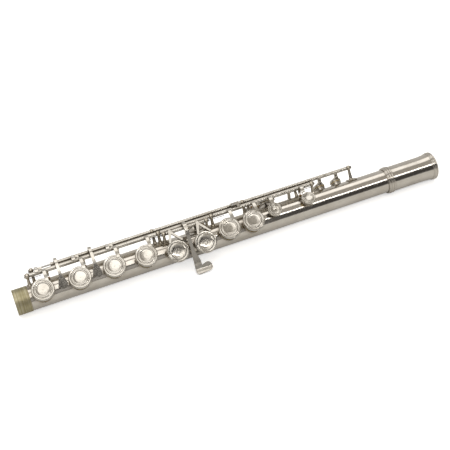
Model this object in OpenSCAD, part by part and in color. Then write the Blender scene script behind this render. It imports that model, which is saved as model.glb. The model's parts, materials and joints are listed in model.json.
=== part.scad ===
// Body joint of a concert flute with a full Boehm mechanism, closed cups and offset G keys.
// Everything is drawn in the key frame: X runs up the tube from the foot tenon's end face,
// +Z points at the row of key cups and +Y at the player. The last step rolls it about X
// to the angle at which the joint lies on a table.

/* [Tube] */
// Outside diameter of the body tube
tube_od = 19.8; // [19.6:0.05:19.8]
// Bore of the body tube
tube_id = 19; // [18.8:0.05:19.1]
// Length of the body tube
tube_len = 325.6; // [320:0.2:330]
// Length of the tenon that carries the foot joint
tenon_len = 11.6; // [10:0.1:12.5]
// Outside diameter of that tenon
tenon_od = 20.5; // [20.3:0.05:20.7]
// Roll about the bore when the joint lies on a table
roll = 43; // [40:1:45]

/* [Barrel] */
// Length of the barrel
barrel_len = 46.4; // [44:0.2:48]
// Outside diameter of the barrel
barrel_od = 21.3; // [21:0.1:21.8]
// Diameter of the socket for the head joint
socket_d = 20.16; // [20.12:0.01:20.2]
// Depth of that socket
socket_depth = 40; // [38:0.5:41]

/* [Tone holes] */
// Distance from the tenon's end face to the D hole
d_hole_x = 22.5; // [22:0.1:23]
// Length from the D hole to where equal semitone steps run out
scale_len = 523.8; // [520:0.1:527]
// Bore of a large tone hole
hole_d = 14.8; // [14.4:0.1:15]
// Bore of a small tone hole
small_hole_d = 7.4; // [7:0.1:7.8]
// Distance from the tenon's end face to the C sharp hole
c_sharp_x = 246.8; // [246:0.1:247.5]
// Distance from the tenon's end face to the D trill hole
d_trill_x = 264.5; // [264:0.1:265]
// Distance from the tenon's end face to the D sharp trill hole
d_sharp_trill_x = 279.6; // [279:0.1:280.5]
// Lean of the two G holes away from the player, degrees
g_lean = 16; // [14:1:17]

/* [Keys] */
// Outside diameter of a large cup
cup_d = 17.8; // [17.6:0.1:18]
// Outside diameter of the C sharp cup and the C touch
small_cup_d = 11.6; // [11.2:0.1:12]
// Outside diameter of a trill cup
trill_cup_d = 9.6; // [9.2:0.1:9.8]
// Angle through which an open key swings to close
key_travel = 9; // [7:0.5:9.5]
// Angle through which the thumb B key swings to close
thumb_travel = 11; // [9:0.5:11.5]
// Outside diameter of the main hinge tubes
hinge_od = 3.5; // [3.3:0.05:3.6]
// Outside diameter of the long trill tube
trill_tube_od = 3; // [2.8:0.05:3.1]

/* [Hidden] */
$fn = 48;

// Radii
tube_r = tube_od / 2;
hole_r = hole_d / 2;
small_hole_r = small_hole_d / 2;
cup_r = cup_d / 2;
small_cup_r = small_cup_d / 2;
trill_cup_r = trill_cup_d / 2;
hinge_r = hinge_od / 2;
trill_tube_r = trill_tube_od / 2;
rim_r = 11.9;           // height of every large tone hole's rim above the bore's axis
small_rim_r = 11.6;     // the same for the small tone holes
wall = 0.5;             // wall of a tone hole
gap = 0.03;             // running clearance of a steel in its tube, on the radius
seat = 0.06;            // space between a closed pad and its rim

// Hinge axes as [y, z]
main_axis = [15.5, 10];
trill_axis = [19.1, 7];
g_axis = [13, 13.2];
thumb_axis = [16.8, 1.5];
main_steel_r = 0.95;
side_steel_r = 0.8;
trill_steel_r = 0.7;

// Places along the tube. hole(n) is n semitones above the D hole.
function hole(n) = d_hole_x + scale_len * (1 - pow(2, -n / 12));
d_x = hole(0);
e_x = hole(1);
f_x = hole(2);
f_sharp_x = hole(3);
g_x = hole(4);
g_sharp_x = hole(5);
a_x = hole(6);
b_flat_x = hole(7);
thumb_x = hole(8);
post_half = 1.7;        // half the width of a post's ball between its two flats
end_post_x = 14.6;
mid_post_x = 121.2;
a_post_x = 166.2;
last_post_x = 255;
g_post_x = [124.6, 160.6];
thumb_post_x = [204.6, 242.4];
trill_post_x = [18.9, 117.4, 195.2, 291.2];
arm_shift = 5.2;        // key arms stand this far towards the head joint from their cups
kicker_shift = 7.6;     // and so do the legs that stop most of them
b_flat_kicker_shift = 2.2;
c_kicker_x = c_sharp_x - 2.2;
collar_from = -2;       // clutch collars, measured from their cup's centre
collar_to = 2.5;
slack = 0.1;            // end play between neighbours on one steel
d_sharp_touch_x = 38.4;
d_touch_x = 66;
lever_x = 142.2;
spring_axis = [13.2, 8.5];
spring_len = 11;
spring_r = 0.22;

// Straps soldered to the tube: outer radius, then leans and widths
strap_r = tube_r + 0.68;
rib_lean = -62;
rib_w = 7.4;
g_strap_lean = -44.6;
g_strap_w = 4.6;
thumb_strap_lean = -87;
thumb_strap_w = 6.4;

// Lean of the other holes, degrees about the bore, positive away from the player
c_sharp_lean = -16;
trill_lean = -102;
g_sharp_lean = -118;
thumb_lean = -132;

// ---------- placing ----------

module in_frame() {
    rotate([roll, 0, 0]) children();
}

// Carries its children, drawn about +Z, to a hole's axis and up to a rim's height
module on_tube(x, lean, r) {
    translate([x, 0, 0]) rotate([lean, 0, 0]) translate([0, 0, r]) children();
}

// Swings its children about a hinge axis
module swing(axis, angle) {
    translate([0, axis[0], axis[1]]) rotate([angle, 0, 0]) {
        translate([0, -axis[0], -axis[1]]) children();
    }
}

module rod(axis, x0, x1, r) {
    translate([x0, axis[0], axis[1]]) rotate([0, 90, 0]) cylinder(r = r, h = x1 - x0);
}

// A plate of the given width across X, cut to an outline drawn in Y and Z
module plate(x, w) {
    translate([x - w / 2, 0, 0]) rotate([90, 0, 90]) linear_extrude(height = w) children();
}

// ---------- outlines ----------

// Points along a smooth line through the given points
function spline_at(p, i, t) = let (
    a = p[max(i - 1, 0)], b = p[i], c = p[i + 1], d = p[min(i + 2, len(p) - 1)])
    0.5 * (2 * b + (c - a) * t + (2 * a - 5 * b + 4 * c - d) * t * t
        + (3 * b - a - 3 * c + d) * t * t * t);
function smooth(p, n) = [for (i = [0 : len(p) - 2]) for (k = [0 : n - 1]) spline_at(p, i, k / n),
    p[len(p) - 1]];
function normal_at(p, i) = let (d = p[min(i + 1, len(p) - 1)] - p[max(i - 1, 0)])
    [-d[1], d[0]] / norm(d);

// A strip that follows a smooth line, w0 thick at its start and w1 at its end
module ribbon(points, w0, w1, n = 4) {
    line = smooth(points, n);
    last = len(line) - 1;
    function half(i) = (w0 + (w1 - w0) * i / last) / 2;
    polygon(concat(
        [for (i = [0 : last]) line[i] + half(i) * normal_at(line, i)],
        [for (i = [last : -1 : 0]) line[i] - half(i) * normal_at(line, i)]));
}

// ---------- repeated pieces ----------

// Cup over a tone hole, closed, with z = 0 at the hole's rim. The top has a rounded shoulder,
// a raised rim, a groove, a second ring and a shallow dish.
module cup(r, pad_h) {
    k = r / 8.9;
    top = pad_h + 0.9;
    difference() {
        rotate_extrude() polygon([
            [0, 0.7], [r - 0.12, 0.7], [r, 0.85], [r, top - 0.75], [r - 0.1 * k, top - 0.4],
            [r - 0.35 * k, top - 0.1], [r - 0.7 * k, top + 0.08], [r - 1.15 * k, top + 0.1],
            [r - 1.5 * k, top], [r - 1.8 * k, top - 0.22], [r - 2.2 * k, top - 0.3],
            [r - 2.55 * k, top - 0.2], [r - 2.85 * k, top], [r - 3.2 * k, top + 0.06],
            [r - 3.5 * k, top - 0.02], [r - 4 * k, top - 0.3], [r - 5 * k, top - 0.5],
            [r - 6.5 * k, top - 0.6], [0, top - 0.63]]);
        translate([0, 0, -1]) cylinder(r = r - 0.4, h = pad_h + 1);
    }
}

module pad(r, pad_h) {
    translate([0, 0, seat]) cylinder(r = r - 0.45, h = pad_h - seat - 0.01);
}

// Arm from a main hinge tube to the top edge of a cup
module cup_arm(x) {
    plate(x, 2.6) ribbon([[15.3, 11.2], [14.2, 12.9], [11.5, 14.1], [8.2, 14.7],
        [5.6, 14.9]], 2, 1.2);
}

// Leg that stops an open key against the tube, and the cork under its foot
module kicker(x) {
    plate(x, 2) ribbon([[15.4, 8.6], [14.4, 6.4], [12.8, 4.8], [11.3, 4.4]], 1, 1.2);
}
module bumper(x) {
    on_tube(x, -70, strap_r + 0.05) translate([-1, -0.9, 0]) cube([2, 1.8, 0.9]);
}

// Tail of a key under a clutch screw
module clutch_tail(x) {
    translate([x + 2.9, 15.5, 9.6]) cube([1.7, 3.7, 1.3]);
    translate([x - 1.2, 17.5, 10.1]) cube([5.8, 1.7, 0.8]);
}

// Collar on the main axis with the lug that carries a clutch screw
module clutch_collar(x) {
    difference() {
        union() {
            rod(main_axis, x + collar_from, x + collar_to, hinge_r);
            translate([x - 1.3, 15.4, 11.6]) cube([2.6, 4, 1.5]);
            translate([x, 18.4, 11.6]) cylinder(r = 1.4, h = 1.5);
        }
        rod(main_axis, x - 4, x + 4, main_steel_r + 0.01);
        translate([x, 18.4, 11]) cylinder(r = 0.61, h = 3);
    }
}

module clutch_screw(x) {
    translate([x, 18.4, 11.5]) cylinder(r = 0.6, h = 2);
    translate([x, 18.4, 13.2]) difference() {
        cylinder(r = 1.1, h = 0.6);
        translate([-1.5, -0.15, 0.3]) cube([3, 0.3, 1]);
    }
}

// Ball post that stands on a strap and holds a steel at the given axis
module post(x, axis, ball_r, bore_r) {
    reach = norm(axis);
    lean = atan2(axis[1], axis[0]) - 90;
    difference() {
        union() {
            on_tube(x, lean, tube_r + 0.3) cylinder(r1 = 2, r2 = 1.4, h = 1.2);
            on_tube(x, lean, tube_r + 0.3) cylinder(r1 = 1.45, r2 = 0.95, h = reach - tube_r - 0.6);
            intersection() {
                translate([x, axis[0], axis[1]]) sphere(r = ball_r);
                translate([x - post_half, 0, 0]) cube([2 * post_half, 30, 30]);
            }
        }
        rod(axis, x - 3, x + 3, bore_r);
        rod([0, 0], x - 3, x + 3, strap_r + 0.02);
    }
}

// The same post with a hole through its stem for needle springs
module spring_post(x) {
    difference() {
        post(x, main_axis, 2.25, main_steel_r + gap);
        rod(spring_axis, x - 3, x + 3, spring_r + 0.005);
    }
}

// Strip soldered along the tube under a row of posts, cut away around the tone holes
module strap(x0, x1, lean, w) {
    difference() {
        intersection() {
            rod([0, 0], x0, x1, strap_r);
            rotate([lean, 0, 0]) translate([x0 - 1, -w / 2, 0]) cube([x1 - x0 + 2, w, 12]);
        }
        rod([0, 0], x0 - 1, x1 + 1, tube_r + 0.01);
        each_hole() on_tube($x, $lean, 0) cylinder(r = $r + wall + 0.03, h = 15);
    }
}

// Outlines of the short straps, grown by a little, to cut the long ribs clear of them
module short_straps(x_list, lean, w) {
    for (x = x_list) {
        rotate([lean, 0, 0]) translate([x - 3.03, -w / 2 - 0.03, 0]) cube([6.06, w + 0.06, 15]);
    }
}

// A whole main-line key with one cup, drawn closed and then swung open
module open_key(x, x0, x1, with_tail, foot = kicker_shift) {
    swing(main_axis, -key_travel) difference() {
        union() {
            rod(main_axis, x0, x1, hinge_r);
            cup_arm(x + arm_shift);
            on_tube(x, 0, rim_r) cup(cup_r, 2.5);
            swing(main_axis, key_travel) kicker(x + foot);
            if (with_tail) clutch_tail(x);
            children();
        }
        rod(main_axis, x0 - 1, x1 + 1, main_steel_r + gap);
        on_tube(x, 0, rim_r - 1) cylinder(r = cup_r - 0.4, h = 3.5);
    }
}

module open_pad(x) {
    swing(main_axis, -key_travel) on_tube(x, 0, rim_r) pad(cup_r, 2.5);
}

// ---------- tube and barrel ----------

module chimney(x, lean, r, h) {
    on_tube(x, lean, 0) {
        cylinder(r = r + wall, h = h);
        translate([0, 0, h - 0.6]) cylinder(r = r + wall + 0.3, h = 0.6);
    }
}

module each_hole() {
    big = [[d_x, 0], [e_x, 0], [f_x, 0], [f_sharp_x, 0], [g_x, g_lean], [g_sharp_x, g_lean],
        [a_x, 0], [b_flat_x, 0], [g_sharp_x, g_sharp_lean], [thumb_x, thumb_lean]];
    small = [[c_sharp_x, c_sharp_lean], [d_trill_x, trill_lean], [d_sharp_trill_x, trill_lean]];
    for (h = big) {
        $x = h[0];
        $lean = h[1];
        $r = hole_r;
        $rim = rim_r;
        children();
    }
    for (h = small) {
        $x = h[0];
        $lean = h[1];
        $r = small_hole_r;
        $rim = small_rim_r;
        children();
    }
}

module body_tube() {
    color("silver") in_frame() difference() {
        union() {
            rod([0, 0], 0.4, tube_len, tube_r);
            each_hole() chimney($x, $lean, $r, $rim);
        }
        rod([0, 0], -1, tube_len + 1, tube_id / 2);
        each_hole() on_tube($x, $lean, 4) cylinder(r = $r, h = 12);
    }
}

module foot_tenon_sleeve() {
    color("tan") in_frame() rotate([0, 90, 0]) difference() {
        cylinder(r = tenon_od / 2, h = tenon_len);
        translate([0, 0, -1]) cylinder(r = tube_id / 2, h = 1.4);
        translate([0, 0, 0.4]) cylinder(r = tube_r + 0.005, h = tenon_len);
    }
}

barrel_x = tube_len + socket_depth - barrel_len;
barrel_r = barrel_od / 2;

module barrel() {
    color("silver") in_frame() translate([barrel_x, 0, 0]) rotate([0, 90, 0]) difference() {
        rotate_extrude() polygon([
            [0, 0], [barrel_r - 0.15, 0], [barrel_r, 0.3], [barrel_r, barrel_len - 16],
            [barrel_r + 0.05, barrel_len - 12], [barrel_r + 0.18, barrel_len - 9],
            [barrel_r + 0.38, barrel_len - 6.5], [barrel_r + 0.6, barrel_len - 4.6],
            [barrel_r + 0.6, barrel_len - 0.4], [barrel_r + 0.4, barrel_len], [0, barrel_len]]);
        translate([0, 0, -1]) cylinder(r = tube_r + 0.005, h = barrel_len - socket_depth + 1);
        translate([0, 0, barrel_len - socket_depth]) cylinder(r = socket_d / 2, h = socket_depth + 1);
    }
}

// A turned ring with rounded beads side by side, fitted over the barrel
module bead_ring(x, inner_r, beads) {
    first = beads[0][0];
    last = beads[len(beads) - 1][0];
    in_frame() translate([x, 0, 0]) rotate([0, 90, 0]) difference() {
        union() {
            for (b = beads) {
                translate([0, 0, b[0]]) rotate_extrude() translate([b[1] - b[2], 0]) circle(r = b[2]);
            }
            translate([0, 0, first]) cylinder(r = inner_r + 0.3, h = last - first);
        }
        translate([0, 0, -4]) cylinder(r = inner_r, h = 14);
    }
}

// Beads are given as [place, outer radius, bead radius]
module barrel_junction_ring() {
    color("silver") bead_ring(barrel_x, barrel_r + 0.005,
        [[1.3, 11.2, 0.85], [3.1, 11.45, 1.05], [5, 11.3, 0.9]]);
}

module barrel_rim_ring() {
    color("silver") bead_ring(barrel_x + barrel_len - 6, barrel_r + 0.605,
        [[2.2, 11.65, 0.6], [3.7, 11.9, 0.85], [5, 11.8, 0.75]]);
}

// ---------- straps, posts and steels ----------

module right_hand_rib() {
    color("silver") in_frame() difference() {
        strap(12.4, 124.5, rib_lean, rib_w);
        short_straps([g_post_x[0]], g_strap_lean, g_strap_w);
    }
}

module left_hand_rib() {
    color("silver") in_frame() difference() {
        strap(158, last_post_x + 4.5, rib_lean, rib_w);
        short_straps([g_post_x[1]], g_strap_lean, g_strap_w);
        short_straps(thumb_post_x, thumb_strap_lean, thumb_strap_w);
    }
}

module g_key_strap() {
    color("silver") in_frame() for (x = g_post_x) strap(x - 3, x + 3, g_strap_lean, g_strap_w);
}

module thumb_strap() {
    color("silver") in_frame() for (x = thumb_post_x) strap(x - 3, x + 3, thumb_strap_lean, thumb_strap_w);
}

module trill_strap() {
    color("silver") in_frame() strap(287.5, 295, -69, 6.4);
}

module right_hand_posts() {
    color("silver") in_frame() for (x = [end_post_x, mid_post_x]) spring_post(x);
}

module left_hand_posts() {
    color("silver") in_frame() for (x = [a_post_x, last_post_x]) spring_post(x);
}

module g_key_posts() {
    color("silver") in_frame() for (x = g_post_x) post(x, g_axis, 2, side_steel_r + gap);
}

module thumb_posts() {
    color("silver") in_frame() for (x = thumb_post_x) post(x, thumb_axis, 2.1, side_steel_r + gap);
}

module trill_posts() {
    color("silver") in_frame() {
        for (x = [trill_post_x[0], trill_post_x[3]]) post(x, trill_axis, 2, trill_steel_r + gap);
        for (x = [trill_post_x[1], trill_post_x[2]]) post(x, trill_axis, 2.05, trill_tube_r + gap);
    }
}

module left_hand_steel() {
    color("gray") in_frame() rod(main_axis, mid_post_x + 0.2, last_post_x + 1.5, main_steel_r);
}

module g_key_steel() {
    color("gray") in_frame() rod(g_axis, g_post_x[0] - 1.6, g_post_x[1] + 1.6, side_steel_r);
}

module thumb_steel() {
    color("gray") in_frame() rod(thumb_axis, thumb_post_x[0] - 1.6, thumb_post_x[1] + 1.6, side_steel_r);
}

// Slotted screws that close the outer ends of the end posts
module pivot_screw(x, axis, way) {
    translate([x, axis[0], axis[1]]) rotate([0, 90 * way, 0]) difference() {
        cylinder(r = 1.25, h = 0.7);
        translate([-0.15, -2, 0.35]) cube([0.3, 4, 1]);
    }
}

module pivot_screws() {
    color("gray") in_frame() {
        pivot_screw(end_post_x - post_half - 0.02, main_axis, -1);
        pivot_screw(last_post_x + post_half + 0.02, main_axis, 1);
        pivot_screw(trill_post_x[3] + post_half + 0.02, trill_axis, 1);
        pivot_screw(trill_post_x[0] - post_half - 0.02, trill_axis, -1);
        pivot_screw(g_post_x[0] - post_half - 0.02, g_axis, -1);
        pivot_screw(g_post_x[1] + post_half + 0.02, g_axis, 1);
    }
}

// Springs stand out of both sides of the middle posts and one side of the end posts
module needle_springs() {
    color("steelblue") in_frame() {
        for (x = [mid_post_x, a_post_x]) rod(spring_axis, x - spring_len, x + spring_len, spring_r);
        rod(spring_axis, end_post_x - 0.6, end_post_x + spring_len, spring_r);
        rod(spring_axis, last_post_x - spring_len, last_post_x + 0.6, spring_r);
    }
}

// ---------- right-hand keys ----------

module d_key() {
    color("silver") in_frame() open_key(d_x, d_x + collar_to + slack, e_x + collar_from - slack, true);
}
module e_key() {
    color("silver") in_frame() open_key(e_x, e_x + collar_to + slack, f_x + collar_from - slack, true);
}
module f_key() {
    color("silver") in_frame() open_key(f_x, f_x + collar_to + slack, f_x + 15.4, true);
}
module f_sharp_key() {
    color("silver") in_frame() open_key(f_sharp_x, f_x + 15.5, mid_post_x - post_half - slack, false);
}
module d_pad() {
    color("wheat") in_frame() open_pad(d_x);
}
module e_pad() {
    color("wheat") in_frame() open_pad(e_x);
}
module f_pad() {
    color("wheat") in_frame() open_pad(f_x);
}
module f_sharp_pad() {
    color("wheat") in_frame() open_pad(f_sharp_x);
}
module d_bumper() {
    color("peru") in_frame() bumper(d_x + kicker_shift);
}
module e_bumper() {
    color("peru") in_frame() bumper(e_x + kicker_shift);
}
module f_bumper() {
    color("peru") in_frame() bumper(f_x + kicker_shift);
}
module f_sharp_bumper() {
    color("peru") in_frame() bumper(f_sharp_x + kicker_shift);
}

module clutch_collars() {
    color("silver") in_frame() swing(main_axis, -key_travel) {
        for (x = [d_x, e_x, f_x]) clutch_collar(x);
        difference() {
            rod(main_axis, end_post_x + post_half + slack, d_x + collar_from, hinge_r);
            rod(main_axis, 10, d_x, main_steel_r + 0.01);
        }
    }
}

module clutch_screws() {
    color("gray") in_frame() swing(main_axis, -key_travel) for (x = [d_x, e_x, f_x]) clutch_screw(x);
}

module right_hand_steel() {
    color("gray") in_frame() rod(main_axis, end_post_x - 1.5, mid_post_x, main_steel_r);
}

// ---------- left-hand keys ----------

// Two-legged arm from the G hinge tube to the top of a cup
module y_arm(x) {
    translate([x, g_axis[0], g_axis[1] + 1.1]) rotate([-10.5, 0, 0]) linear_extrude(height = 1.2) {
        hull() {
            translate([-1, 0]) circle(r = 1.2, $fn = 32);
            translate([-4, -9.8]) circle(r = 0.85, $fn = 32);
        }
        hull() {
            translate([-1, -0.6]) circle(r = 1, $fn = 32);
            translate([5.6, -10]) circle(r = 0.8, $fn = 32);
        }
    }
}

module g_key() {
    color("silver") in_frame() swing(g_axis, -key_travel) difference() {
        union() {
            rod(g_axis, g_post_x[0] + post_half + slack, g_post_x[1] - post_half - slack, 1.5);
            for (x = [g_x, g_sharp_x]) {
                on_tube(x, g_lean, rim_r) cup(cup_r, 2.5);
                y_arm(x);
            }
        }
        rod(g_axis, 120, 165, side_steel_r + gap);
        for (x = [g_x, g_sharp_x]) on_tube(x, g_lean, rim_r - 1) cylinder(r = cup_r - 0.4, h = 3.5);
    }
}
module g_pads() {
    color("wheat") in_frame() swing(g_axis, -key_travel) for (x = [g_x, g_sharp_x]) {
        on_tube(x, g_lean, rim_r) pad(cup_r, 2.5);
    }
}

b_flat_from = 188.6;    // where the B flat key's tube begins
c_from = 206.5;         // where the C key's tube begins
a_clutch_x = 185.6;
lug_x = 201.4;          // lug that the thumb lever pushes

module a_key() {
    color("silver") in_frame() open_key(a_x, a_post_x + post_half + slack, b_flat_from - slack, false) {
        translate([a_clutch_x - 1.2, 15.5, 9.6]) cube([2.4, 3.7, 1.3]);
    }
}
module a_pad() {
    color("wheat") in_frame() open_pad(a_x);
}
module a_bumper() {
    color("peru") in_frame() bumper(a_x + kicker_shift);
}
module b_flat_key() {
    color("silver") in_frame() open_key(b_flat_x, b_flat_from, c_from - slack, false, b_flat_kicker_shift) {
        translate([b_flat_from + 0.3, 15.4, 11]) cube([2.2, 4.4, 2.1]);
        difference() {
            translate([a_clutch_x - 1.4, 17.3, 11.6]) cube([b_flat_from + 2.5 - a_clutch_x, 2.5, 1.5]);
            translate([a_clutch_x, 18.4, 11]) cylinder(r = 0.61, h = 3);
        }
        swing(main_axis, key_travel) plate(lug_x, 1.6) translate([14.9, 4.8]) square([1, 4.2]);
    }
}
module b_flat_pad() {
    color("wheat") in_frame() open_pad(b_flat_x);
}
module b_flat_bumper() {
    color("peru") in_frame() bumper(b_flat_x + b_flat_kicker_shift);
}
module b_flat_clutch_screw() {
    color("gray") in_frame() swing(main_axis, -key_travel) clutch_screw(a_clutch_x);
}

// Round touch for the first finger on a long tube that carries the C sharp cup
module c_key() {
    color("silver") in_frame() swing(main_axis, -key_travel) difference() {
        union() {
            rod(main_axis, c_from, last_post_x - post_half - slack, hinge_r);
            on_tube(c_sharp_x, c_sharp_lean, small_rim_r) cup(small_cup_r, 2.1);
            plate(c_kicker_x, 2.6) ribbon([[15.4, 11.4], [14, 12.9], [11.4, 13.5], [8.6, 12.9],
                [6, 13]], 2, 1.3);
            translate([thumb_x + 0.4, 3.4, 11.6]) cup(small_cup_r, 1.4);
            plate(thumb_x + 0.4, 3) ribbon([[15.3, 11.2], [13.6, 13], [10.8, 13.9], [7, 13.6],
                [3.4, 13.1]], 2, 1.2);
            swing(main_axis, key_travel) kicker(c_kicker_x);
        }
        rod(main_axis, 200, 260, main_steel_r + gap);
        on_tube(c_sharp_x, c_sharp_lean, small_rim_r - 1) cylinder(r = small_cup_r - 0.4, h = 3.1);
    }
}
module c_sharp_pad() {
    color("wheat") in_frame() swing(main_axis, -key_travel) {
        on_tube(c_sharp_x, c_sharp_lean, small_rim_r) pad(small_cup_r, 2.1);
    }
}
module c_bumper() {
    color("peru") in_frame() bumper(c_kicker_x);
}

// Lever for the little finger, over the tube between the two G cups, and its cup behind the tube
module g_sharp_key() {
    color("silver") in_frame() difference() {
        union() {
            rod(main_axis, mid_post_x + post_half + slack, a_post_x - post_half - slack, hinge_r);
            on_tube(g_sharp_x, g_sharp_lean, rim_r) cup(cup_r, 2.5);
            plate(g_sharp_x - 1.5, 2.8) ribbon([[15.2, 8.8], [14.9, 6], [16, 2.6], [17.1, 0], [16, -2.8],
                [14.2, -5.4]], 1.8, 1.3);
            intersection() {
                plate(lever_x + 5, 20) ribbon([[16.2, 10.8], [16.4, 14.4], [13.4, 17.2], [8, 17], [0, 15],
                    [-8, 12.6], [-13.5, 11], [-16, 10], [-19, 8.6], [-22, 8.1], [-25.6, 9.3]], 2, 1.3);
                g_sharp_outline();
            }
        }
        rod(main_axis, 120, 168, main_steel_r + gap);
        on_tube(g_sharp_x, g_sharp_lean, rim_r - 1) cylinder(r = cup_r - 0.4, h = 3.5);
    }
}

// The lever seen from above: a straight bar, a neck that widens, and a spoon bent towards the
// head joint
module g_sharp_outline() {
    translate([lever_x, 0, 0]) linear_extrude(height = 20) {
        translate([-1.45, -8]) square([2.9, 26]);
        polygon([[-1.45, -7], [1.45, -7], [3.9, -15], [4.4, -22], [-1.9, -22], [-1.6, -15]]);
        hull() {
            translate([0.9, -23]) circle(r = 3, $fn = 32);
            translate([8.3, -21.5]) circle(r = 3.8, $fn = 32);
        }
    }
}

module g_sharp_pad() {
    color("wheat") in_frame() on_tube(g_sharp_x, g_sharp_lean, rim_r) pad(cup_r, 2.5);
}

// ---------- thumb keys ----------

thumb_split = 219.6;    // where the thumb key's tube ends and the lever's begins
lever_arm_x = 239.2;
lever_finger = [13.2, 5.8];

module thumb_b_key() {
    color("silver") in_frame() swing(thumb_axis, thumb_travel) difference() {
        union() {
            rod(thumb_axis, thumb_post_x[0] + post_half + slack, thumb_split - slack, hinge_r);
            plate(thumb_x, 2.8) ribbon([[17.2, 0.4], [18.5, -1.6], [17.7, -4.2], [15.2, -6.3],
                [13.2, -8.3]], 1.8, 1.3);
            on_tube(thumb_x, thumb_lean, rim_r) {
                cup(cup_r, 2.5);
                translate([0, 0, 2.4]) linear_extrude(height = 1.2) hull() {
                    translate([-13.4, 0.6]) circle(r = 5.4, $fn = 32);
                    translate([-6, 0]) circle(r = 4, $fn = 32);
                }
            }
        }
        rod(thumb_axis, 200, 230, side_steel_r + gap);
        on_tube(thumb_x, thumb_lean, rim_r - 1) cylinder(r = cup_r - 0.4, h = 3.5);
    }
}
module thumb_b_pad() {
    color("wheat") in_frame() swing(thumb_axis, thumb_travel) {
        on_tube(thumb_x, thumb_lean, rim_r) pad(cup_r, 2.5);
    }
}

// Lever beside the thumb key. Its long finger ends on a cork under the B flat key's lug.
module thumb_b_flat_lever() {
    color("silver") in_frame() difference() {
        union() {
            rod(thumb_axis, thumb_split, thumb_post_x[1] - post_half - slack, hinge_r);
            rod(lever_finger, lug_x + 0.7, thumb_split + 2.4, 0.7);
            plate(thumb_split + 1.4, 2) polygon([[12.8, 5], [13.6, 6.5], [17.4, 3], [16, 0.6]]);
            plate(lever_arm_x, 2.4) ribbon([[17.2, 0.4], [18.9, -1.8], [18.3, -4.6], [15.6, -7.6],
                [11.9, -11.4]], 1.6, 1.2);
            on_tube(lever_arm_x, thumb_lean, rim_r + 4) linear_extrude(height = 1.2) hull() {
                translate([-0.6, 3.4]) circle(r = 3, $fn = 32);
                translate([-6, 5.6]) circle(r = 3, $fn = 32);
            }
        }
        rod(thumb_axis, 218, 243, side_steel_r + gap);
    }
}
module thumb_lever_cork() {
    color("peru") in_frame() rod(lever_finger, lug_x - 0.7, lug_x + 0.7, 0.9);
}

// ---------- trill keys ----------

// Arm from the trill axis over the main axis to a touch that slopes down between two cups
module trill_touch(x) {
    plate(x, 2.4) ribbon([[20, 8.2], [21.3, 10.6], [20.7, 14], [17.6, 16.2], [13, 17],
        [8.4, 16.7], [4.4, 16.1]], 1.8, 1.2);
    translate([x, 8, 16]) rotate([9, 0, 0]) linear_extrude(height = 1.2) hull() {
        translate([0, -3.4]) circle(r = 2.2, $fn = 32);
        translate([0, -7.8]) circle(r = 3.7, $fn = 32);
    }
}

// Trill cup with the arm that widens from the rod to the cup's back
module trill_cup(x) {
    on_tube(x, trill_lean, small_rim_r) cup(trill_cup_r, 1.9);
    on_tube(x, trill_lean, small_rim_r + 2) linear_extrude(height = 1.2) hull() {
        circle(r = 3.2, $fn = 32);
        translate([0, -7.4]) circle(r = 1.3, $fn = 32);
    }
    plate(x, 2.6) ribbon([[19.5, 6], [18.2, 4.7], [16.3, 3.6], [15, 1.5]], 2, 1.4);
}

module trill_holes(x) {
    on_tube(x, trill_lean, small_rim_r - 1) cylinder(r = trill_cup_r - 0.4, h = 2.9);
}

module d_trill_key() {
    color("silver") in_frame() difference() {
        union() {
            rod(trill_axis, 59.6, 268.8, trill_tube_r);
            trill_touch(d_touch_x);
            trill_cup(d_trill_x);
        }
        rod(trill_axis, 58, 270, trill_steel_r + gap);
        trill_holes(d_trill_x);
    }
}
module d_trill_pad() {
    color("wheat") in_frame() on_tube(d_trill_x, trill_lean, small_rim_r) pad(trill_cup_r, 1.9);
}

module d_sharp_trill_key() {
    color("silver") in_frame() difference() {
        union() {
            rod(trill_axis, 268.9, trill_post_x[3] - post_half - slack, trill_tube_r);
            trill_cup(d_sharp_trill_x);
        }
        rod(trill_axis, 260, 295, trill_steel_r + 0.01);
        trill_holes(d_sharp_trill_x);
    }
}
module d_sharp_trill_touch() {
    color("silver") in_frame() difference() {
        union() {
            rod(trill_axis, 34.2, 59.5, trill_tube_r);
            trill_touch(d_sharp_touch_x);
        }
        rod(trill_axis, 30, 65, trill_steel_r + 0.01);
    }
}
module d_sharp_trill_pad() {
    color("wheat") in_frame() on_tube(d_sharp_trill_x, trill_lean, small_rim_r) pad(trill_cup_r, 1.9);
}
module trill_steel() {
    color("gray") in_frame() rod(trill_axis, trill_post_x[0] - 1.5, trill_post_x[3] + 1.5, trill_steel_r);
}

body_tube();
foot_tenon_sleeve();
barrel();
barrel_junction_ring();
barrel_rim_ring();
right_hand_rib();
left_hand_rib();
g_key_strap();
thumb_strap();
trill_strap();
right_hand_posts();
left_hand_posts();
g_key_posts();
thumb_posts();
trill_posts();
left_hand_steel();
g_key_steel();
thumb_steel();
pivot_screws();
needle_springs();
d_key();
d_pad();
d_bumper();
e_key();
e_pad();
e_bumper();
f_key();
f_pad();
f_bumper();
f_sharp_key();
f_sharp_pad();
f_sharp_bumper();
right_hand_steel();
clutch_collars();
clutch_screws();
g_key();
g_pads();
a_key();
a_pad();
a_bumper();
b_flat_key();
b_flat_pad();
b_flat_bumper();
b_flat_clutch_screw();
c_key();
c_sharp_pad();
c_bumper();
thumb_b_key();
thumb_b_pad();
thumb_b_flat_lever();
thumb_lever_cork();
g_sharp_key();
g_sharp_pad();
d_trill_key();
d_trill_pad();
d_sharp_trill_touch();
d_sharp_trill_key();
d_sharp_trill_pad();
trill_steel();
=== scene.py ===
import json
import math

import bmesh
import bpy
from mathutils import Matrix, Quaternion, Vector, noise


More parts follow.
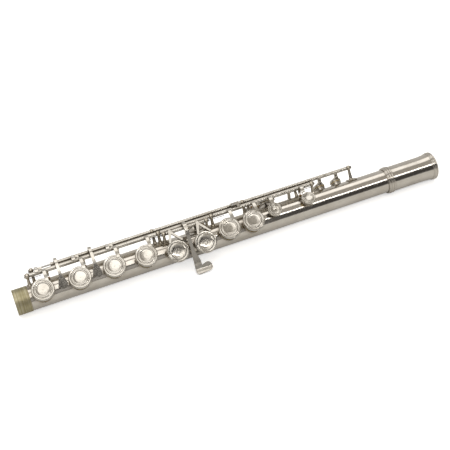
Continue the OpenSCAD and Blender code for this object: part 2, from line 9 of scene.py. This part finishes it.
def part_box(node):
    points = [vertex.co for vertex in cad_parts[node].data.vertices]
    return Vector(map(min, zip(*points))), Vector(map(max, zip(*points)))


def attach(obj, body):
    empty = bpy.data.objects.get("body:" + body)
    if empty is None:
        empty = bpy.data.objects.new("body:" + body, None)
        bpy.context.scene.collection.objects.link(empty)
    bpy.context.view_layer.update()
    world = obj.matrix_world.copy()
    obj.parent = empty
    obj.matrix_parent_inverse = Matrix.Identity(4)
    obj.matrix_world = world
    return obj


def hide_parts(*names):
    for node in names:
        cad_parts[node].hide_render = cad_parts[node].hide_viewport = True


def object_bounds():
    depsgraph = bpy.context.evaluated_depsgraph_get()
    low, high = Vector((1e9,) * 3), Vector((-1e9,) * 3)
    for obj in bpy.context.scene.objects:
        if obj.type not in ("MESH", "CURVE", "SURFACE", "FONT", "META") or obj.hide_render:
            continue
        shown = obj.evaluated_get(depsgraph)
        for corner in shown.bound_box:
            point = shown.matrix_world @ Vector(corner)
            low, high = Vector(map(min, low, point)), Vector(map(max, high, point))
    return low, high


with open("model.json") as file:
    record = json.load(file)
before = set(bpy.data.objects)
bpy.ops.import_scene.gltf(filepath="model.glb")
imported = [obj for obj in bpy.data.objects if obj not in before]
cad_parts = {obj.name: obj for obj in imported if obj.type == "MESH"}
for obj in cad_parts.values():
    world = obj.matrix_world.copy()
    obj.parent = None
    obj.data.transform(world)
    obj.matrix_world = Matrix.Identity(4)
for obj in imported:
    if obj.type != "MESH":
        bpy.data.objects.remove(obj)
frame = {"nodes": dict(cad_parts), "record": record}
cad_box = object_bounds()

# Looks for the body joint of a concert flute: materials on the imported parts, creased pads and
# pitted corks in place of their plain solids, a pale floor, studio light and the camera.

MM = 0.001
EDGE_R = 0.22 * MM      # how far polishing has rounded the edges of plated parts

nodes = frame["nodes"]
record = frame["record"]
body_of_node = {n: b for b, names in record["behaviour"]["bodies"].items() for n in names}
slot_of_node = {p["node"]: p["material_slot"] for p in record["subparts"]}


# ---------- shader nodes ----------

class Shader:
    """Makes and links the nodes of one material or world with short calls."""

    def __init__(self, tree):
        self.tree = tree
        tree.nodes.clear()

    def set(self, socket, value):
        if isinstance(value, bpy.types.NodeSocket):
            self.tree.links.new(value, socket)
        elif isinstance(value, (tuple, list)) and len(value) == 3 and socket.type == "RGBA":
            socket.default_value = (*value, 1)
        else:
            socket.default_value = value

    def node(self, kind, inputs=(), **settings):
        made = self.tree.nodes.new(kind)
        for name, value in settings.items():
            setattr(made, name, value)
        for name, value in dict(inputs).items():
            self.set(made.inputs[name], value)
        return made

    def math(self, operation, a, b=0.0):
        return self.node("ShaderNodeMath", {0: a, 1: b}, operation=operation).outputs[0]

    def place(self):
        return self.node("ShaderNodeTexCoord").outputs["Object"]

    def stretched(self, scale, offset=(0, 0, 0)):
        return self.node("ShaderNodeMapping",
                         {"Vector": self.place(), "Scale": scale, "Location": offset}).outputs[0]

    def noise(self, scale, detail=3.0, roughness=0.5, vector=None, distortion=0.0):
        inputs = {"Scale": scale, "Detail": detail, "Roughness": roughness, "Distortion": distortion,
                  "Vector": vector or self.place()}
        return self.node("ShaderNodeTexNoise", inputs).outputs[0]

    def cells(self, scale, vector=None, feature="F1"):
        inputs = {"Scale": scale, "Vector": vector or self.place()}
        return self.node("ShaderNodeTexVoronoi", inputs, feature=feature).outputs["Distance"]

    def spread(self, value, low, high, to_low=0.0, to_high=1.0):
        inputs = {0: value, 1: low, 2: high, 3: to_low, 4: to_high}
        return self.node("ShaderNodeMapRange", inputs).outputs[0]

    def mix(self, factor, a, b):
        made = self.node("ShaderNodeMix", data_type="RGBA")
        self.set(made.inputs["Factor"], factor)
        self.set(made.inputs[6], a)
        self.set(made.inputs[7], b)
        return made.outputs[2]

    def ramp(self, factor, stops):
        made = self.node("ShaderNodeValToRGB", {"Fac": factor})
        elements = made.color_ramp.elements
        while len(elements) < len(stops):
            elements.new(0.5)
        for element, (position, colour) in zip(elements, stops):
            element.position = position
            element.color = (*colour, 1)
        return made.outputs[0]

    def bump(self, height, distance, strength=1.0, under=None):
        inputs = {"Height": height, "Distance": distance, "Strength": strength}
        if under is not None:
            inputs["Normal"] = under
        return self.node("ShaderNodeBump", inputs).outputs[0]

    def corners(self, distance):
        """1 in open places and towards 0 in grooves and corners."""
        return self.node("ShaderNodeAmbientOcclusion", {"Distance": distance}, samples=6).outputs["AO"]


def principled(name, inputs_from):
    """A material with one principled shader, whose inputs come from a function of its Shader."""
    material = bpy.data.materials.new(name)
    material.use_nodes = True
    shader = Shader(material.node_tree)
    surface = shader.node("ShaderNodeBsdfPrincipled", inputs_from(shader))
    output = shader.node("ShaderNodeOutputMaterial")
    shader.set(output.inputs["Surface"], surface.outputs["BSDF"])
    return material


def plated(clean, dull, groove, rough_low, rough_high, groove_reach, scratch_along_x):
    """Polished plate with faint clouding, hairline scratches and tarnish where a cloth can't reach."""
    def inputs(s):
        cloud = s.noise(70, 4, 0.6)
        handled = s.noise(420, 3, 0.65)
        stretch = (90, 2600, 2600) if scratch_along_x else (2600, 120, 120)
        hairline = s.noise(1.0, 5, 0.7, s.stretched(stretch))
        open_place = s.spread(s.corners(groove_reach), 0.35, 0.95)
        skin = s.mix(s.spread(cloud, 0.38, 0.66), clean, dull)
        colour = s.mix(open_place, groove, skin)
        polish = s.spread(s.math("ADD", handled, s.math("MULTIPLY", hairline, 0.4)), 0.4, 1.0,
                          rough_low, rough_high)
        roughness = s.math("ADD", polish, s.math("MULTIPLY", s.math("SUBTRACT", 1.0, open_place), 0.22))
        rounded = s.node("ShaderNodeBevel", {"Radius": EDGE_R}, samples=4).outputs["Normal"]
        normal = s.bump(hairline, 1e-6, 0.4, s.bump(s.noise(300, 2), 2e-6, 0.4, rounded))
        return {"Base Color": colour, "Metallic": 1.0, "Roughness": roughness, "Normal": normal}
    return inputs


def bare_sleeve(s):
    """Unplated tenon: olive metal rubbed and scratched round by the foot joint's socket."""
    rings = s.noise(1.0, 6, 0.75, s.stretched((5200, 60, 60)))
    coarse = s.noise(1.0, 3, 0.6, s.stretched((900, 25, 25)))
    stain = s.noise(160, 5, 0.65)
    worn = s.mix(s.spread(coarse, 0.4, 0.62), (0.30, 0.265, 0.155), (0.46, 0.425, 0.30))
    colour = s.mix(s.spread(stain, 0.5, 0.72, 0.0, 0.75), worn, (0.22, 0.185, 0.10))
    roughness = s.spread(rings, 0.3, 0.7, 0.36, 0.55)
    normal = s.bump(rings, 1.2e-5, 0.8, s.bump(stain, 1e-5, 0.4))
    return {"Base Color": colour, "Metallic": 1.0, "Roughness": roughness, "Normal": normal}


def turned_steel(s):
    rings = s.noise(1.0, 4, 0.6, s.stretched((4200, 150, 150)))
    colour = s.mix(s.noise(600, 3), (0.36, 0.35, 0.335), (0.56, 0.55, 0.53))
    return {"Base Color": colour, "Metallic": 1.0, "Roughness": s.spread(rings, 0.3, 0.7, 0.2, 0.4),
            "Normal": s.bump(rings, 6e-6, 0.7)}


def blued_wire(s):
    colour = s.ramp(s.noise(350, 3), [(0.3, (0.03, 0.045, 0.11)), (0.55, (0.06, 0.07, 0.13)),
                                      (0.75, (0.15, 0.10, 0.07))])
    return {"Base Color": colour, "Metallic": 1.0, "Roughness": s.spread(s.noise(900), 0.3, 0.7, 0.22, 0.4),
            "Normal": s.bump(s.noise(2500), 4e-6, 0.5)}


def bladder_skin(s):
    """Thin yellowed skin stretched over felt, creased at the edge and darker where it has been damp."""
    fibres = s.noise(1.0, 5, 0.7, s.stretched((3200, 900, 2100)), 0.8)
    crease = s.cells(1500, feature="SMOOTH_F1")
    damp = s.noise(230, 4, 0.6)
    skin = s.mix(s.spread(fibres, 0.35, 0.65), (0.60, 0.44, 0.17), (0.80, 0.66, 0.36))
    colour = s.mix(s.spread(damp, 0.5, 0.72, 0.0, 0.8), skin, (0.42, 0.27, 0.08))
    normal = s.bump(crease, 2.5e-5, 0.6, s.bump(fibres, 1.2e-5, 0.6))
    return {"Base Color": colour, "Roughness": s.spread(fibres, 0.3, 0.7, 0.34, 0.55),
            "Subsurface Weight": 0.12, "Subsurface Radius": (0.8e-3, 0.5e-3, 0.2e-3),
            "Subsurface Scale": 1.0, "Coat Weight": 0.15, "Coat Roughness": 0.35, "Normal": normal}


def fine_cork(s):
    grain = s.cells(2600)
    patch = s.noise(900, 4, 0.7)
    fleck = s.cells(1100, s.stretched((1, 1, 2.2)))
    body = s.mix(s.spread(patch, 0.35, 0.65), (0.42, 0.25, 0.11), (0.66, 0.46, 0.25))
    colour = s.mix(s.spread(fleck, 0.12, 0.3), (0.13, 0.06, 0.025), body)
    normal = s.bump(grain, 6e-5, 0.7, s.bump(patch, 5e-5, 0.6))
    return {"Base Color": colour, "Roughness": s.spread(grain, 0.1, 0.6, 0.95, 0.75),
            "Sheen Weight": 0.2, "Sheen Roughness": 0.5, "Normal": normal}


def table_top(s):
    """White paper, washed out for the camera and greyer as the polished tube mirrors it."""
    cloud = s.noise(6, 3)
    paper = s.mix(cloud, (0.88, 0.88, 0.88), (0.90, 0.90, 0.90))
    seen = s.node("ShaderNodeLightPath").outputs["Is Camera Ray"]
    colour = s.mix(seen, (0.78, 0.78, 0.76), paper)
    glow = s.spread(seen, 0.0, 1.0, 0.08, 0.6)
    return {"Base Color": colour, "Roughness": 0.65, "Emission Color": (1, 1, 1),
            "Emission Strength": glow, "Normal": s.bump(s.noise(900, 2), 1e-5, 0.2)}


# Each plated metal: its clean, dull and groove colours, lowest and highest roughness, the reach of
# tarnish out of a groove, and whether its scratches run along X.
TUBE_PLATE = ((0.62, 0.59, 0.545), (0.55, 0.515, 0.465), (0.22, 0.18, 0.135), 0.12, 0.18, 4.0 * MM, True)
KEYWORK_PLATE = ((0.62, 0.595, 0.55), (0.50, 0.47, 0.42), (0.13, 0.105, 0.07), 0.13, 0.24, 3.5 * MM, False)
FITTINGS_PLATE = ((0.57, 0.53, 0.47), (0.46, 0.415, 0.34), (0.17, 0.13, 0.075), 0.16, 0.30, 3.5 * MM, False)
WASHER_PLATE = ((0.62, 0.58, 0.5), (0.5, 0.45, 0.36), (0.2, 0.15, 0.09), 0.2, 0.35, 0.5 * MM, False)

SURFACES = {
    "plated_tube": plated(*TUBE_PLATE),
    "plated_keywork": plated(*KEYWORK_PLATE),
    "plated_fittings": plated(*FITTINGS_PLATE),
    "bare_nickel_silver": bare_sleeve,
    "steel": turned_steel,
    "blued_spring": blued_wire,
    "pad_skin": bladder_skin,
    "cork": fine_cork,
}
MATERIALS = {slot: principled(slot, surface) for slot, surface in SURFACES.items()}
washer_metal = principled("pad_washer", plated(*WASHER_PLATE))

for name, thing in nodes.items():
    thing.data.materials.clear()
    thing.data.materials.append(MATERIALS[slot_of_node[name]])


# ---------- pieces ----------

def add_piece(name, mesh, body, slot, material=None):
    for face in mesh.polygons:
        face.use_smooth = True
    mesh.materials.append(material or MATERIALS[slot])
    piece = bpy.data.objects.new(name, mesh)
    bpy.context.scene.collection.objects.link(piece)
    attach(piece, body)
    return piece


def placed_mesh(name, made, to_world):
    """Turns a bmesh into a mesh at its place in the frame, its faces outwards."""
    bmesh.ops.transform(made, matrix=to_world, verts=made.verts)
    bmesh.ops.recalc_face_normals(made, faces=made.faces)
    mesh = bpy.data.meshes.new(name)
    made.to_mesh(mesh)
    made.free()
    return mesh


def lathe(name, rings, segments, to_world, shape=None):
    """A closed mesh turned from (radius, height) rings. The first and last lie on the axis.
    shape(radius, height, angle) may move a point a little."""
    made = bmesh.new()
    loops = []
    for radius, height in rings[1:-1]:
        loop = []
        for k in range(segments):
            angle = math.tau * k / segments
            r, h = shape(radius, height, angle) if shape else (radius, height)
            loop.append(made.verts.new((r * math.cos(angle), r * math.sin(angle), h)))
        loops.append(loop)
    ends = [made.verts.new((0, 0, rings[i][1])) for i in (0, -1)]
    for k in range(segments):
        after = (k + 1) % segments
        for low, high in zip(loops, loops[1:]):
            made.faces.new((low[k], low[after], high[after], high[k]))
        made.faces.new((ends[0], loops[0][after], loops[0][k]))
        made.faces.new((ends[1], loops[-1][k], loops[-1][after]))
    return placed_mesh(name, made, to_world)


def groups_along_x(points, gap):
    """Splits points into groups wherever their x leaves a gap."""
    ordered = sorted(points, key=lambda p: p.x)
    groups = [[ordered[0]]]
    for before, point in zip(ordered, ordered[1:]):
        if point.x - before.x > gap:
            groups.append([])
        groups[-1].append(point)
    return groups


def middle_of(points):
    return sum(points, Vector()) / len(points)


def thin_way(points):
    """(direction, half thickness) across the thinnest side of a solid that is square to X."""
    centre = middle_of(points)
    flat = [Vector((0, p.y - centre.y, p.z - centre.z)) for p in points]
    steps = 720
    thin, least = None, math.inf
    for step in range(steps):
        angle = math.pi * step / steps
        way = Vector((0, math.cos(angle), math.sin(angle)))
        reach = max(abs(p.dot(way)) for p in flat)
        if reach < least:
            thin, least = way, reach
    return thin, least


def disc_frame(points):
    """(matrix, radius, thickness) of a disc. The matrix's Z runs through it from the back to the tube."""
    centre = middle_of(points)
    axis, half_thick = thin_way(points)
    if axis.dot(Vector((0, -centre.y, -centre.z))) < 0:
        axis = -axis
    along = Vector((1, 0, 0))
    turn = Matrix((along, axis.cross(along), axis)).transposed().to_4x4()
    corner = max((p - centre).length for p in points)
    radius = math.sqrt(max(corner ** 2 - half_thick ** 2, 0))
    return Matrix.Translation(centre) @ turn, radius, 2 * half_thick


# Outlines of a pad, from its edge to the middle of its face. The first two give mm in from the edge
# and mm below the face, the last the part of the radius and mm below the face.
PAD_EDGE = [(0, 0.75), (0.02, 0.5), (0.09, 0.28), (0.2, 0.12), (0.33, 0.07)]
PAD_SEAT_RING = [(0.55, 0.13), (0.77, 0.14), (1.05, 0.05), (1.45, 0)]
PAD_FACE = [(0.7, 0.02), (0.5, 0.04), (0.3, 0.1), (0.12, 0.16), (0, 0.16)]


def pad_rings(radius, thick):
    """Outline of a pad from its back to its face, which has the ring that the tone hole presses."""
    back = -thick / 2
    face = thick / 2
    rings = [(radius * part, back) for part in (0, 0.5, 0.93)]
    rings += [(radius - 0.06 * MM, back + 0.12 * MM), (radius, back + 0.4 * MM)]
    rings += [(radius - inset * MM, face - depth * MM) for inset, depth in PAD_EDGE + PAD_SEAT_RING]
    rings += [(radius * part, face - depth * MM) for part, depth in PAD_FACE]
    return rings


# Outline of the washer on a pad's face and of the screw's head on it: radius and height in mm.
WASHER = [(0, -0.25), (3.1, -0.25), (3.25, -0.05), (3.1, 0.12),
          (1.9, 0.2), (1.8, 0.5), (1.5, 0.62), (0, 0.66)]


def creased(seed):
    """Pulls a pad's skin in by small pleats at the edge and a slow unevenness on the face."""
    def shape(radius, height, angle):
        around = Vector((math.cos(angle), math.sin(angle), 0))
        slow = noise.noise(around * 1.7 + Vector((seed, 0, radius * 300)))
        pleat = noise.noise(around * 11 + Vector((0, seed, height * 400)))
        pull = (0.02 + 0.02 * slow + 0.035 * abs(pleat)) * MM
        return radius - min(pull, radius * 0.2), height - (0.5 + 0.5 * slow) * 0.03 * MM
    return shape


SMALLEST_SCREWED_PAD = 7 * MM   # radius of the smallest pad that a screw and washer hold
PAD_GAP = 3 * MM                # pads of one node stand further apart than this along X

for node in sorted(n for n in nodes if slot_of_node[n] == "pad_skin"):
    body = body_of_node[node]
    corners = [v.co.copy() for v in nodes[node].data.vertices]
    for number, group in enumerate(groups_along_x(corners, PAD_GAP)):
        to_world, radius, thick = disc_frame(group)
        seed = 10 * sum(map(ord, node)) % 97 + number
        mesh = lathe(f"{node}_skin_{number}", pad_rings(radius, thick), 120, to_world, creased(seed))
        pad = add_piece(f"{node}_skin_{number}", mesh, body, "pad_skin")
        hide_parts(node)
        if radius > SMALLEST_SCREWED_PAD:
            rings = [(r * MM, thick / 2 + height * MM) for r, height in WASHER]
            mesh = lathe(f"{node}_washer_{number}", rings, 64, to_world)
            add_piece(f"{node}_washer_{number}", mesh, body, "plated_fittings", washer_metal)


CORK_ROUNDING = 0.16     # part of the way from a block to a ball
CORK_SHRINK = 0.985      # keeps the block inside the box of its solid
CORK_PITS = 0.05         # depth of the pits, as a part of the distance from the middle


def cork_block(name, points):
    """A little block of cork inside the box of a CAD solid, with rounded edges and pitted faces."""
    along = Vector((1, 0, 0))
    centre = middle_of(points)
    thin, half_thin = thin_way(points)
    wide = thin.cross(along)
    half = (max(abs(p.x - centre.x) for p in points),
            max(abs((p - centre).dot(wide)) for p in points), half_thin)
    made = bmesh.new()
    bmesh.ops.create_cube(made, size=2)
    bmesh.ops.subdivide_edges(made, edges=made.edges, cuts=9, use_grid_fill=True)
    for vert in made.verts:
        block = Vector(vert.co)
        ball = block.normalized() * max(abs(c) for c in block)
        soft = block.lerp(ball, CORK_ROUNDING)
        place = Vector((soft.x * half[0], soft.y * half[1], soft.z * half[2]))
        pit = 0.5 + 0.5 * noise.noise((place + centre) / MM * 2.6)
        vert.co = place * (CORK_SHRINK - CORK_PITS * pit)
    turn = Matrix((along, wide, thin)).transposed().to_4x4()
    return placed_mesh(name, made, Matrix.Translation(centre) @ turn)


for node in sorted(n for n in nodes if n.endswith("_bumper")):
    mesh = cork_block(f"{node}_cork", [v.co.copy() for v in nodes[node].data.vertices])
    block = add_piece(f"{node}_cork", mesh, body_of_node[node], "cork")
    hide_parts(node)

# Outline of the thumb lever's cork sleeve, as parts of its radius and of half its length.
SLEEVE = [(0, -1), (0.8, -1), (0.96, -0.86), (0.99, -0.4), (0.98, 0),
          (0.99, 0.4), (0.96, 0.86), (0.8, 1), (0, 1)]

low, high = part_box("thumb_lever_cork")
half_length = (high.x - low.x) / 2
sleeve_r = (high.z - low.z) / 2
rings = [(sleeve_r * r, half_length * part) for r, part in SLEEVE]
upright = Matrix.Translation((low + high) / 2) @ Matrix.Rotation(math.pi / 2, 4, "Y")
mesh = lathe("thumb_lever_cork_sleeve", rings, 40, upright)
sleeve_piece = add_piece("thumb_lever_cork_sleeve", mesh, body_of_node["thumb_lever_cork"], "cork")
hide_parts("thumb_lever_cork")


# ---------- floor, light and camera ----------

FLOOR_Z = cad_box[0].z
FLOOR_SIZE = 12
centre = (cad_box[0] + cad_box[1]) / 2

bpy.ops.mesh.primitive_plane_add(size=FLOOR_SIZE, location=(centre.x, centre.y, FLOOR_Z))
floor = bpy.context.object
floor.name = "table"
floor.data.materials.append(principled("table_top", table_top))

# The room as the polished tube mirrors it, by the angle above the horizon behind the flute.
# It runs from the back wall, over the ceiling, to the dark room behind the camera.
ROOM = [(-180, (0.55, 0.53, 0.50)), (0, (0.66, 0.645, 0.62)), (35, (0.66, 0.64, 0.61)),
        (62, (0.52, 0.49, 0.45)), (95, (0.46, 0.43, 0.385)), (135, (0.48, 0.45, 0.41)),
        (141, (0.07, 0.065, 0.06)), (170, (0.06, 0.058, 0.055)), (177, (0.16, 0.15, 0.14)),
        (180, (0.3, 0.29, 0.28))]

world = bpy.data.worlds.new("room")
bpy.context.scene.world = world
world.use_nodes = True
s = Shader(world.node_tree)
way = s.node("ShaderNodeSeparateXYZ", {0: s.node("ShaderNodeTexCoord").outputs["Generated"]})
angle = s.math("ARCTAN2", way.outputs["Z"], way.outputs["Y"])
turn = s.spread(angle, -math.pi, math.pi)
colour = s.ramp(turn, [((degrees + 180) / 360, tone) for degrees, tone in ROOM])
background = s.node("ShaderNodeBackground", {"Color": colour, "Strength": 1.0})
s.set(s.node("ShaderNodeOutputWorld").inputs["Surface"], background.outputs[0])


def softbox(name, place, aim, width, height, radiance, tint):
    """A rectangular lamp of the given brightness, facing a point, its width along X."""
    lamp = bpy.data.lights.new(name, "AREA")
    lamp.shape = "RECTANGLE"
    lamp.size, lamp.size_y = width, height
    lamp.energy = radiance * math.pi * width * height
    lamp.color = tint
    thing = bpy.data.objects.new(name, lamp)
    thing.location = place
    thing.rotation_mode = "QUATERNION"
    thing.rotation_quaternion = (Vector(aim) - Vector(place)).to_track_quat("-Z", "Y")
    bpy.context.scene.collection.objects.link(thing)


# Each lamp: place, aim, width, height, radiance and tint.
LAMPS = {
    "key": ((-0.20, -0.56, 1.08), (-0.20, 0.0, 0.0), 1.14, 0.86, 1.45, (1.0, 0.985, 0.96)),
    "card": ((-0.22, -0.9, 0.30), (-0.22, 0.0, 0.0), 1.34, 0.44, 0.42, (1.0, 0.97, 0.93)),
    "strip": ((0.95, -0.86, 0.93), (0.95, 0.0, 0.0), 1.1, 0.10, 8.0, (1.0, 0.985, 0.96)),
    "top": ((0.2, 0.9, 2.6), (0.2, 0.1, 0.0), 3.0, 1.6, 1.2, (1.0, 0.99, 0.97)),
}
for name, settings in LAMPS.items():
    softbox(name, *settings)

CAMERA_PLACE = Vector((-0.0064, -0.5998, 0.4916))
CAMERA_AIM = Vector((0.1768, 0.0042, 0.0052))
CAMERA_ROLL = math.radians(-7.7)
SENSOR_MM = 36
LENS_MM = 78.7

camera = bpy.data.cameras.new("camera")
camera.sensor_width = SENSOR_MM
camera.lens = LENS_MM
camera.clip_start, camera.clip_end = 0.01, 50
camera_object = bpy.data.objects.new("camera", camera)
camera_object.location = CAMERA_PLACE
camera_object.rotation_mode = "QUATERNION"
camera_object.rotation_quaternion = ((CAMERA_AIM - CAMERA_PLACE).to_track_quat("-Z", "Y")
                                     @ Quaternion((0, 0, 1), CAMERA_ROLL))
bpy.context.scene.collection.objects.link(camera_object)
bpy.context.scene.camera = camera_object
bpy.context.scene.view_settings.view_transform = "Standard"
